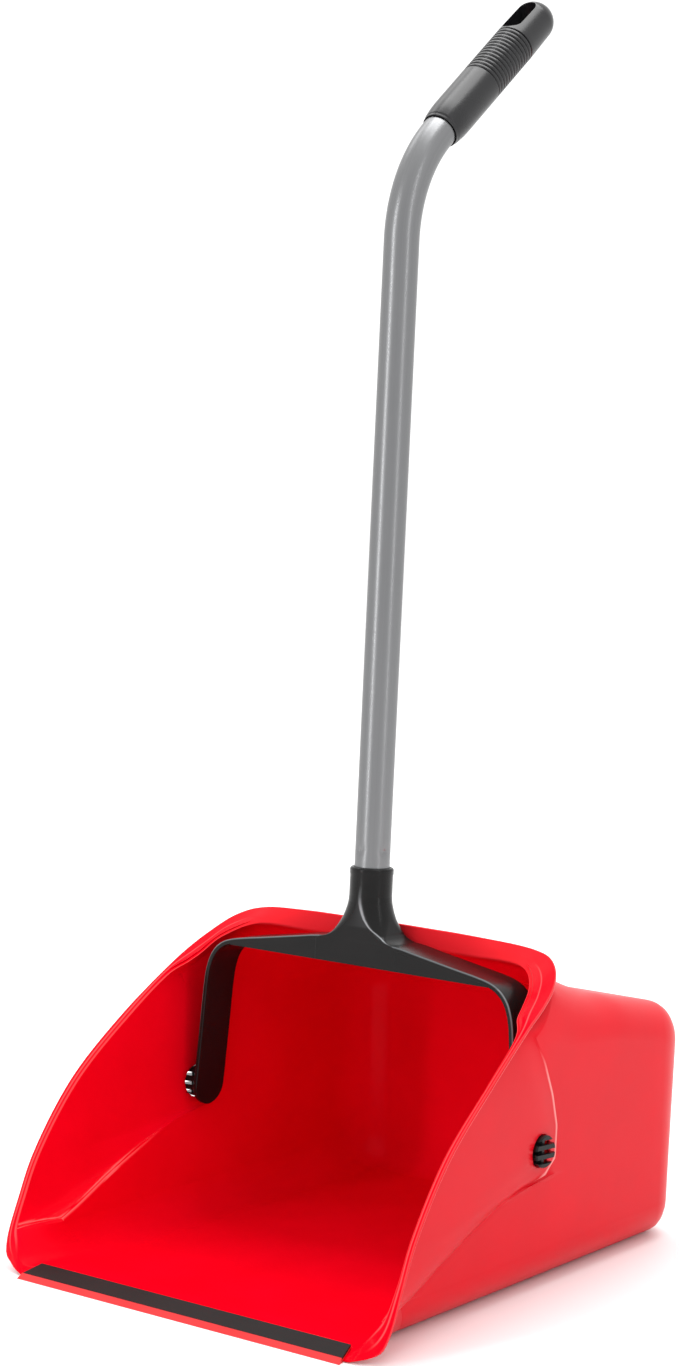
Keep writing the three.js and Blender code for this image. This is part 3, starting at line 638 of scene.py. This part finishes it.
def build_pan():
    """Both skins of the pan as grids (line, row), with their zones and the painted highlights along
    their edges.
    """
    names = stations()
    right = np.array([pan_line(zone, f) for zone, f in names])
    distance = seam_distance(right, names)
    left = right[1:-1][::-1] * np.array((-1, 1, 1))
    full = np.concatenate([right, left])
    labels = names + names[1:-1][::-1]
    gaps = np.concatenate([distance, distance[1:-1][::-1]])
    inside, outside = full.copy(), outer_skin(full)
    inward = vertex_normals(full)
    painted_highlights_in, painted_highlights_out = np.zeros(full.shape[:2]), np.zeros(full.shape[:2])
    for i, (zone, f) in enumerate(labels):
        for k in range(RIM_ROWS, full.shape[1]):
            point, gap = full[i, k], gaps[i, k]
            wing = zone == "wall" and k <= SEAM_ROW
            if wing:
                lift = table(LEDGE, gap)
            else:
                lift = (1 - smoothstep(gap, 0, LEDGE_FADE)) if zone != "corner" else 0
            fade = 1 - smoothstep(point[1], *LEDGE_END)
            inside[i, k] = point + inward[i, k] * LEDGE_HEIGHT * lift * fade
            # painted highlights on the inner ledge's edges and round the seam's kink
            if wing or gap < ON_SEAM:
                bend = math.hypot(point[1] - KINK[0], point[2] - KINK[1])
                highlight_share = max(1 - smoothstep(point[1], *LEDGE_PAINTED_HIGHLIGHT_END),
                            1 - smoothstep(bend, *KINK_PAINTED_HIGHLIGHT))
                painted_highlights_in[i, k] = table(LEDGE_PAINTED_HIGHLIGHTS, gap) * highlight_share
            # painted highlights along the outer seam, and on the lowest part of each wing
            if wing:
                painted_highlights_out[i, k] = table(SEAM_PAINTED_HIGHLIGHTS, gap) * (1 - smoothstep(f, *SEAM_PAINTED_HIGHLIGHT_END))
                if f <= FOOT_PAINTED_HIGHLIGHT_END:
                    painted_highlights_out[i, k] = FOOT_PAINTED_HIGHLIGHT
                drop = SEAM_STEP * table(SEAM, gap) * (1 - smoothstep(gap, SEAM_RISER, SEAM_FADE))
                outside[i, k] = outside[i, k] + inward[i, k] * drop
    return inside, outside, labels, painted_highlights_in, painted_highlights_out


def rim_profile(inside, outside):
    """One closed line over both skins, with the rim's edges rounded."""
    line = list(outside[:RIM_ROWS - 1:-1])
    line += fillet(outside[3], outside[2], outside[1], RIM_SOFT)
    line.append(outside[1])
    line += fillet(outside[1], outside[0], inside[0], RIM_SOFT)
    line += fillet(outside[0], inside[0], inside[1], RIM_SOFT)
    line += fillet(inside[0], inside[1], inside[2], RIM_SOFT)
    line += fillet(inside[1], inside[2], inside[4], INNER_SOFT)
    line += list(inside[RIM_ROWS:])
    return line


def line_painted_highlights(zone, f, painted_highlights_in, painted_highlights_out, count):
    """Painted highlights of the count points of one rim_profile() line: on the rim's rounded edges,
    with a painted sheen over the rim along the hood.
    """
    back, front = list(painted_highlights_out[:RIM_ROWS - 1:-1]), list(painted_highlights_in[RIM_ROWS:])
    flange_sheen_share = {"corner": smoothstep(f, 0.2, 1), "top": 1.0}.get(zone, 0.0)
    rim = [FLANGE_PAINTED_SHEEN * flange_sheen_share] * (count - len(back) - len(front))
    share = {"foot": smoothstep(f, 0.6, 1), "wall": 1.0,
             "corner": 1 - smoothstep(f, 0.5, 0.9)}.get(zone, 0.0)
    # The middle three points of every fillet but the first, which one more point follows.
    for edge, amount in enumerate(RIM_PAINTED_HIGHLIGHTS):
        start = FILLET_STEPS + 3 + edge * (FILLET_STEPS + 1)
        for k in range(start, start + 3):
            rim[k] = max(rim[k], amount * share)
    return back + rim + front


def pan_object():
    inside, outside, labels, painted_highlights_in, painted_highlights_out = build_pan()
    lines = [rim_profile(inside[i], outside[i]) for i in range(len(labels))]
    count, rows = len(lines), len(lines[0])
    # painted highlights of every line, carried in the mesh's first UV channel
    painted_highlights = []
    for i, (zone, f) in enumerate(labels):
        painted_highlights += line_painted_highlights(zone, f, painted_highlights_in[i], painted_highlights_out[i], rows)
    # The grained outside goes up to the second rounded edge of the rim.
    grained = inside.shape[1] - RIM_ROWS + 2 * (FILLET_STEPS + 1) + 1
    faces, slots = [], []
    for i in range(count):
        j = (i + 1) % count
        for k in range(rows - 1):
            faces.append([i * rows + k, j * rows + k, j * rows + k + 1, i * rows + k + 1])
            slots.append(1 if k < grained else 0)
    faces.append([i * rows for i in range(count)][::-1])
    faces.append([i * rows + rows - 1 for i in range(count)])
    slots += [1, 0]
    build = Build()
    build.add([tuple(p) for line in lines for p in line], faces, slots,
              [(float(highlight), 0.0) for highlight in painted_highlights])
    obj = make_object(build, "pan_shell", [RED_GLOSS_PAINTED_LIGHTER, RED_GRAIN_PAINTED_DARKER], from_pan, sharp=50.0)
    circle = [(HOLE_RADIUS * math.cos(a), HOLE_RADIUS * math.sin(a))
              for a in np.linspace(0, 2 * math.pi, 64, endpoint=False)]
    for side in (-1, 1):
        cutter = Build()
        cutter.rings([[(side * x, PIVOT_Y + y, PIVOT_Z + z) for y, z in circle]
                      for x in HOLE_REACH])
        cut(obj, make_object(cutter, "cutter", [], from_pan, weighted=False))
    return obj


# ---------------------------------------------------------------- handle

DEPTH = 16.6                      # half depth of strap and arms
STRAP = 4.0                       # their thickness
STRAP_EDGE, STRAP_INNER_EDGE = 1.3, 0.7
# Painted highlights: the front edges of the strap and arms are lightened in colour where light
# would catch them.
STRAP_PAINTED_HIGHLIGHT, ARM_PAINTED_HIGHLIGHT = 0.30, 0.45      # edge marks of the strap and of the arms
ARM_TOP = 118                          # height at which the one becomes the other
ARM_PAINTED_HIGHLIGHT_START = (20, 80)              # heights between which the arms' marks begin
NECK_REACH = 34                        # no marks this close to the middle
SOCKET = 16.7
SOCKET_TOP = 193.2
WEB_BOTTOM = 117.7
WEB_REACH = 127
WEB_RIBS = (-84, -48, 48, 84)
RIB_HALF = 1.25
RIB_FRONT, RIB_BACK, RIB_SINK = 1, 2, 2     # how far the ribs stay inside the strap
WEB_SINK, WEB_DEPTH, WEB_EDGE = 1.6, (0.03, 3.5), 0.3
ARCH = points((0, 137.4), (37, 136.9), (60, 133.4), (95, 127.7), (116, 124.4), (127, 122.1),
              (134.5, 119.4), (141.5, 114.6), (146.8, 107.8), (150, 100), (152.3, 90),
              (155.8, 45), (159.3, 0))
# The neck's outline, as (W, half width, corner radius).
NECK = [(118, 40, 1.3), (134.5, 40, 1.3), (136.4, 36.5, 1.3), (137.1, 33.5, 1.7),
        (138.2, 30, 2.6), (140, 27.2, 4.2), (142.5, 25.2, 6.6), (146, 23.7, 9.8),
        (150, 22.2, 13), (154, 20.9, 15.4), (158, 19.6, 16.4), (162, 18.3, 16.7),
        (166, 17.2, 16.7), (171, 16.7, 16.7), (180, 16.7, 16.7)]
NECK_CORNER = 24                  # points on each corner of a ring
# painted highlight down the neck's front corner: its place on a ring, and below its width and how
# strongly it shows
NECK_PAINTED_HIGHLIGHT = (83.5, 73.5)          # point of a ring that is marked, for sharp and round corners
COLLAR_FOOT = [(180, 16.7), (187.4, 16.7), (188.2, 17.0), (191.0, 17.0)]      # (W, radius)
COLLAR_MOUTH = [(192.9, 14.25), (192.3, 14.1), (186, 14.1), (186, 1.0)]
COLLAR_ROUND = (191.0, 14.8, 2.2)      # W and radius of its centre, its own radius
NECK_PAINTED_HIGHLIGHT_LEAST, NECK_PAINTED_HIGHLIGHT_ARC = 0.9, 10    # half width of the mark in points: least, and x radius
NECK_PAINTED_HIGHLIGHT_ALL, NECK_PAINTED_HIGHLIGHT_START, NECK_PAINTED_HIGHLIGHT_END = 0.8, (136, 141), (160, 176)
HUB_RADIUS, HUB_ROOT, HUB_TIP = 12.3, 157.5, 177.0
FINS = [(8.3, 12.2), (1.3, 5.7), (-5.7, -1.3), (-12.2, -8.3)]     # (W of underside, W of top)
FIN_CHAMFER = 1.2                 # along X, on the tips of the fins
FIN_TIP_RADIUS = HUB_RADIUS - 1.1
FIN_TIP_REACH, FIN_TIP_INSET = 11.1, 0.5


def rounded(half_x, half_v, radius, w):
    """Ring of the neck: a rectangle with rounded corners."""
    ring = []
    for cx, cv, start in ((1, 1, 0), (-1, 1, 90), (-1, -1, 180), (1, -1, 270)):
        for k in range(NECK_CORNER):
            angle = math.radians(start + 90 * (k + 0.5) / NECK_CORNER)
            ring.append((cx * (half_x - radius) + radius * math.cos(angle),
                         cv * (half_v - radius) + radius * math.sin(angle), w))
    return ring


def neck_shape(w):
    """Half width and corner radius of the neck."""
    return (table([(row[0], row[1]) for row in NECK], w),
            table([(row[0], row[2]) for row in NECK], w))


def neck(build):
    rings = []
    for w in np.concatenate([[118, 126], np.linspace(134.5, 171, 56)]):
        half, radius = neck_shape(w)
        rings.append(rounded(max(half, SOCKET), SOCKET, min(radius, SOCKET - 0.001), w))
    level, centre, bend = COLLAR_ROUND
    collar = COLLAR_FOOT + [(level + bend * math.sin(a), centre + bend * math.cos(a))
                            for a in np.linspace(0.15, math.pi / 2, 7)] + COLLAR_MOUTH
    for w, r in collar:
        rings.append(rounded(r, r, r - 0.001, w))
    # painted highlight down the neck's front corner, strongest where the corner is sharp
    painted_highlights = []
    for ring in rings:
        w = ring[0][2]
        radius = neck_shape(w)[1]
        middle = lerp(*NECK_PAINTED_HIGHLIGHT, smoothstep(radius, 3, 12))
        width = max(NECK_PAINTED_HIGHLIGHT_LEAST, NECK_PAINTED_HIGHLIGHT_ARC / radius)
        highlight_share = (NECK_PAINTED_HIGHLIGHT_ALL * smoothstep(w, *NECK_PAINTED_HIGHLIGHT_START)
                 * (1 - smoothstep(w, *NECK_PAINTED_HIGHLIGHT_END)))
        painted_highlights.append([highlight_share * math.exp(-((k - middle) / width) ** 2) for k in range(len(ring))])
    build.rings(rings, painted_highlights=painted_highlights)


def arch_points():
    """Outer line of the arch from the middle to the right arm's end, with outward normals."""
    found = [spline(ARCH, t) for t in np.linspace(0, 3, 10)]
    found += [spline(ARCH, t) for t in np.linspace(3, 10, 36)[1:]]
    found += [spline(ARCH, t) for t in np.linspace(10, 12, 8)[1:]]
    tip = found[-1]
    slant = unit(found[-1] - found[-2])
    found += [tip + slant * DEPTH * math.sin(a) for a in np.linspace(0, math.pi / 2, 14)[1:]]
    result = []
    for k, p in enumerate(found):
        before, after = found[max(0, k - 1)], found[min(len(found) - 1, k + 1)]
        step = unit(after - before)
        width = DEPTH * math.sqrt(1 - clamp(-p[1] / DEPTH) ** 2)
        result.append((p, np.array((-step[1], step[0])), max(width, 1.5)))
    return result


def arch(build):
    line = arch_points()
    full = [(p * np.array((-1, 1)), n * np.array((-1, 1)), w) for p, n, w in line[:0:-1]] + line
    rings, painted_highlights = [], []
    for p, normal, width in full:
        ring = []
        for cv, depth, radius, start in ((-1, 0, STRAP_EDGE, 180), (1, 0, STRAP_EDGE, 90),
                                         (1, -STRAP, STRAP_INNER_EDGE, 0),
                                         (-1, -STRAP, STRAP_INNER_EDGE, -90)):
            radius = min(radius, width * 0.6)
            for k in range(5):
                angle = math.radians(start - 90 * k / 4)
                level = depth + (-radius if depth == 0 else radius) + radius * math.sin(angle)
                v = cv * (width - radius) + radius * math.cos(angle)
                ring.append((p[0] + normal[0] * level, v, p[1] + normal[1] * level))
        rings.append(ring)
        # painted highlight along the front outer edge of the strap and arms
        highlight_share = STRAP_PAINTED_HIGHLIGHT if p[1] > ARM_TOP else ARM_PAINTED_HIGHLIGHT * smoothstep(p[1], *ARM_PAINTED_HIGHLIGHT_START)
        if abs(p[0]) < NECK_REACH:
            highlight_share = 0.0
        painted_highlights.append([highlight_share * {1: 0.5, 2: 1.0, 3: 0.5}.get(k, 0.0) for k in range(len(ring))])
    build.rings(rings, painted_highlights=painted_highlights)


def plate(build, outline, v0, v1, edge):
    """Flat plate square to V with small chamfers; outline runs in X and W."""
    centre = np.mean(outline, axis=0)
    rings = []
    for amount, v in ((edge, v0), (0, v0 + edge), (0, v1 - edge), (edge, v1)):
        inset = [p + unit(centre - p) * amount for p in outline]
        rings.append([(p[0], v, p[1]) for p in inset])
    build.rings(rings)


def arch_height(x):
    """Height of the strap's upper side."""
    return table(ARCH[:7], abs(x))


def web(build):
    reach = np.linspace(-WEB_REACH, WEB_REACH, 60)
    top = [np.array((x, arch_height(x) - WEB_SINK)) for x in reach]
    bottom = [np.array((x, WEB_BOTTOM)) for x in reach[::-1]]
    plate(build, top + bottom, -DEPTH + WEB_DEPTH[0], -DEPTH + WEB_DEPTH[1], WEB_EDGE)
    for x in WEB_RIBS:
        low, high = WEB_BOTTOM + RIB_SINK, arch_height(x) - RIB_SINK
        front, back = -DEPTH + RIB_FRONT, DEPTH - RIB_BACK
        ring = [(front, low), (back, low), (back, high), (front, high)]
        build.rings([[(x + side * RIB_HALF, v, w) for v, w in ring] for side in (-1, 1)])


def fin_outline(radius, low, high):
    """Section of a fin: a circle's band between two heights."""
    heights = np.linspace(low, high, 7)
    halves = [math.sqrt(max(0.05, radius * radius - w * w)) for w in heights]
    front = [(-half, w) for half, w in zip(halves, heights)]
    return list(zip(halves, heights)) + front[::-1]


def hub(build, side):
    """Four fins with chamfered tips that reach through the hole in the pan's wall."""
    for low, high in FINS:
        body = fin_outline(HUB_RADIUS, low, high)
        tip = fin_outline(FIN_TIP_RADIUS, max(low + FIN_TIP_INSET, -FIN_TIP_REACH),
                          min(high - FIN_TIP_INSET, FIN_TIP_REACH))
        build.rings([[(side * x, v, w) for v, w in outline] for x, outline in
                     ((HUB_ROOT, body), (HUB_TIP - FIN_CHAMFER, body), (HUB_TIP, tip))])
    core = [(-1.5, -11), (1.5, -11), (1.5, 11), (-1.5, 11)]
    build.rings([[(side * x, v, w) for v, w in core] for x in (HUB_ROOT, HUB_TIP - 3)])


def yoke_object():
    build = Build()
    neck(build)
    arch(build)
    web(build)
    for side in (-1, 1):
        hub(build, side)
    return make_object(build, "yoke_body", [BLACK_SATIN], from_handle, sharp=38.0)


TUBE_RADIUS = 13.7
TUBE_FOOT = 152.5
BEND_START = 674.0
BEND_RADIUS = 113.0
BEND_ANGLE = math.radians(49.3)
BEND_ARC = BEND_RADIUS * BEND_ANGLE
BEND_END = BEND_START + BEND_ARC
AFTER_BEND = 103.7
TUBE_SIDES = 128
DIMPLE_AT = SOCKET_TOP + 13
DIMPLE_TURNS = (-100, -10, 80, 170)
DIMPLE = [(0.75, 1.5), (0.45, 4.2)]    # (depth, radius) of the pit and of the dent round it


def tube_axis(s):
    """Point on the tube's axis and its lean, a length s above the pivot."""
    if s < BEND_START:
        return np.array((0, 0, s)), 0.0
    angle = min((s - BEND_START) / BEND_RADIUS, BEND_ANGLE)
    point = np.array((0, BEND_RADIUS * (1 - math.cos(angle)),
                      BEND_START + BEND_RADIUS * math.sin(angle)))
    rest = max(0.0, s - BEND_START - BEND_ARC)
    return point + rest * np.array((0, math.sin(angle), math.cos(angle))), angle


def tube_object():
    heights = np.concatenate([
        [TUBE_FOOT, 175, 185], np.arange(190, 222, 0.8), np.linspace(226, BEND_START, 30),
        np.linspace(BEND_START, BEND_END, 60)[1:],
        np.linspace(BEND_END, BEND_END + AFTER_BEND, 8)[1:]])
    rings, uvs = [], []
    for s in heights:
        centre, lean = tube_axis(s)
        across = np.array((0, math.cos(lean), -math.sin(lean)))
        ring = []
        for k in range(TUBE_SIDES):
            angle = 2 * math.pi * k / TUBE_SIDES
            radius = TUBE_RADIUS
            for degrees in DIMPLE_TURNS:
                turn = (angle - math.radians(degrees) + math.pi) % (2 * math.pi) - math.pi
                gap = math.hypot(turn * TUBE_RADIUS, s - DIMPLE_AT)
                radius -= sum(depth * math.exp(-(gap / reach) ** 2) for depth, reach in DIMPLE)
            ring.append(tuple(centre + radius * (math.cos(angle) * np.array((1, 0, 0))
                                                 + math.sin(angle) * across)))
            uvs.append((k / TUBE_SIDES, s * MM))
        rings.append(ring)
    build = Build()
    build.rings(rings, uvs=uvs)
    return make_object(build, "tube", [METAL], from_handle, sharp=40.0)


GRIP_START = 2.3
GRIP_LENGTH = 168.0
GRIP_RADIUS = 17.0
GRIP_TIP = 16.3
GRIP_SIDES = 112
GRIP_FLAT, FLAT_START = 14.6, (119, 123)    # half thickness of the flattened end
# Bore and mouth of the grip and its widening shank, as (radius, length from the mouth).
GRIP_SHANK = [(14.0, 101.0), (14.0, 1.0), (14.2, 0.25), (14.7, 0.0), (15.0, 0.35), (15.1, 1.0),
              (15.15, 2.6), (15.4, 2.9), (15.65, 3.4), (15.8, 4.2), (16.3, 8), (16.8, 13),
              (17.0, 20), (17.0, 40)]
RING_START, RING_PITCH, RINGS = 64.0, 4.1, 14
GROOVE_WIDTH, GROOVE_DEPTH, GROOVE_SPREAD = 1.4, 1.4, 0.62
SLOT_LOW, SLOT_HIGH, SLOT_HALF = 128.5, 149.5, 8.5    # centres of its round ends, half width
CLEAR = 40                        # a size that is clear of the grip


def grip_place(p):
    """Grip coordinates (across, over, along from the mouth) to the handle's frame."""
    base, angle = tube_axis(BEND_END + GRIP_START)
    x, v, s = p
    over = np.array((0, math.cos(angle), -math.sin(angle)))
    along = np.array((0, math.sin(angle), math.cos(angle)))
    return from_handle(base + np.array((x, 0, 0)) + v * over + s * along)


def grip_profile():
    """(radius, length from the mouth) from the end of the bore to the tip."""
    profile = list(GRIP_SHANK)
    for s in np.arange(RING_START - 3, RING_START + RING_PITCH * RINGS + 1, 0.34):
        inside = RING_START <= s <= RING_START + RING_PITCH * (RINGS - 1) + GROOVE_WIDTH
        middle = s - RING_START - GROOVE_WIDTH / 2
        phase = abs(((middle + RING_PITCH / 2) % RING_PITCH) - RING_PITCH / 2)
        groove = math.exp(-(phase / GROOVE_SPREAD) ** 2) if inside else 0.0
        profile.append((GRIP_RADIUS - GROOVE_DEPTH * groove, s))
    dome = GRIP_LENGTH - GRIP_TIP
    for angle in np.linspace(0, math.pi / 2, 20)[:-1]:
        profile.append((GRIP_TIP * math.cos(angle), dome + GRIP_TIP * math.sin(angle)))
    return profile


def grip_object():
    build = Build()
    rings = []
    for r, s in grip_profile():
        ring = []
        flat = lerp(CLEAR, GRIP_FLAT, smoothstep(s, *FLAT_START))
        for k in range(GRIP_SIDES):
            angle = 2 * math.pi * k / GRIP_SIDES
            ring.append((r * math.cos(angle), clamp(r * math.sin(angle), -flat, flat), s))
        rings.append(ring)
    build.rings(rings)
    obj = make_object(build, "grip_body", [GRIP_SATIN], grip_place, sharp=55.0)
    slot = Build()
    outline = [(SLOT_HALF * math.cos(a), middle + SLOT_HALF * math.sin(a))
               for middle, start in ((SLOT_HIGH, 0), (SLOT_LOW, math.pi))
               for a in np.linspace(start, start + math.pi, 20)]
    slot.rings([[(x, v, s) for x, s in outline] for v in (-CLEAR, CLEAR)])
    cut(obj, make_object(slot, "cutter", [], grip_place, weighted=False))
    bevel(obj, 0.9, 3, 58)
    obj.modifiers.move(obj.modifiers.find("edges"), 0)
    return obj


# ---------------------------------------------------------------- pieces on their bodies

PIECES = [
    (pan_object(), "pan", "pan", "pan_red"),
    (yoke_object(), "handle", "yoke", "yoke_black"),
    (tube_object(), "handle", "handle_tube", "tube_metal"),
    (grip_object(), "handle", "grip", "grip_black"),
]
for piece, body, node, slot_name in PIECES:
    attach(piece, body)
    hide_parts(node)

for node, material in (("lip_base_strip", LIP_RED), ("lip_rubber_strip", LIP_BLACK),
                       ("tube_insert", NATURAL)):
    obj = frame["nodes"][node]
    for index in range(len(obj.material_slots)):
        obj.material_slots[index].material = material
    bevel(obj, 0.3, 2, 25)

# ---------------------------------------------------------------- floor, light and camera

CAMERA_AT = (1.528, LIP_Y * MM - 1.681, 0.740)
CAMERA_TURN = math.radians(39.18)
CAMERA_DOWN = math.radians(6.87)


def floor():
    build = Build()
    size = 9000.0
    build.add([(-size, -size, 0), (size, -size, 0), (size, size, 0), (-size, size, 0)],
              [[0, 1, 2, 3]])
    material, nodes, links, bsdf = shader("pale floor", (0.92, 0.92, 0.92), 0.6, specular=0.2)
    cloud = noise(nodes, links, 3.0)
    links.new(tint(nodes, links, cloud, (0.91, 0.91, 0.91), (0.94, 0.94, 0.94)),
              bsdf.inputs["Base Color"])
    obj = make_object(build, "floor", [material], lambda p: (p[0], p[1], -0.05), weighted=False)


def softbox(name, azimuth, distance, height, size, power):
    """Area light at an azimuth from -Y towards +X, aimed at the middle of the object."""
    light = bpy.data.lights.new(name, "AREA")
    light.shape = "RECTANGLE"
    light.size, light.size_y = size
    light.energy = power
    obj = bpy.data.objects.new(name, light)
    bpy.context.scene.collection.objects.link(obj)
    a = math.radians(azimuth)
    place = Vector((distance * math.sin(a), -distance * math.cos(a), height))
    obj.location = place
    target = Vector((0, 0, 0.45))
    obj.rotation_euler = (target - place).to_track_quat("-Z", "Y").to_euler()


def studio_world():
    """Bright behind and above the object, dimmer on the camera's side."""
    world = bpy.data.worlds.new("studio")
    bpy.context.scene.world = world
    world.use_nodes = True
    nodes, links = world.node_tree.nodes, world.node_tree.links
    coordinates = nodes.new("ShaderNodeTexCoord")
    away = nodes.new("ShaderNodeVectorMath")
    away.operation = "DOT_PRODUCT"
    away.inputs[1].default_value = (-math.sin(CAMERA_TURN), math.cos(CAMERA_TURN), 0.8)
    links.new(coordinates.outputs["Generated"], away.inputs[0])
    ramp = nodes.new("ShaderNodeValToRGB")
    ramp.color_ramp.interpolation = "EASE"
    ramp.color_ramp.elements[0].position = 0.0
    ramp.color_ramp.elements[0].color = (0.88, 0.88, 0.89, 1)
    ramp.color_ramp.elements[1].position = 0.75
    ramp.color_ramp.elements[1].color = (1.0, 1.0, 1.0, 1)
    shift = nodes.new("ShaderNodeMapRange")
    shift.inputs["From Min"].default_value = -1.0
    shift.inputs["From Max"].default_value = 1.0
    links.new(away.outputs["Value"], shift.inputs["Value"])
    links.new(shift.outputs["Result"], ramp.inputs["Fac"])
    background = nodes["Background"]
    links.new(ramp.outputs["Color"], background.inputs["Color"])
    background.inputs["Strength"].default_value = 1.2


floor()
studio_world()
softbox("front_left", -16, 4.5, 1.5, (0.2, 4.0), 48)
softbox("right", 82, 4.5, 1.7, (0.2, 4.4), 22)
softbox("overhead", 180, 0.55, 2.7, (1.8, 1.2), 34)
softbox("high_left", -113, 2.0, 3.0, (2.0, 1.2), 12)

camera_data = bpy.data.cameras.new("camera")
camera_data.sensor_width = 36.0
camera_data.lens = 84.81
camera_data.clip_end = 60.0
camera = bpy.data.objects.new("camera", camera_data)
camera.location = CAMERA_AT
camera.rotation_euler = (math.pi / 2 - CAMERA_DOWN, 0, CAMERA_TURN)
bpy.context.scene.collection.objects.link(camera)
bpy.context.scene.camera = camera
bpy.context.scene.view_settings.view_transform = "Standard"
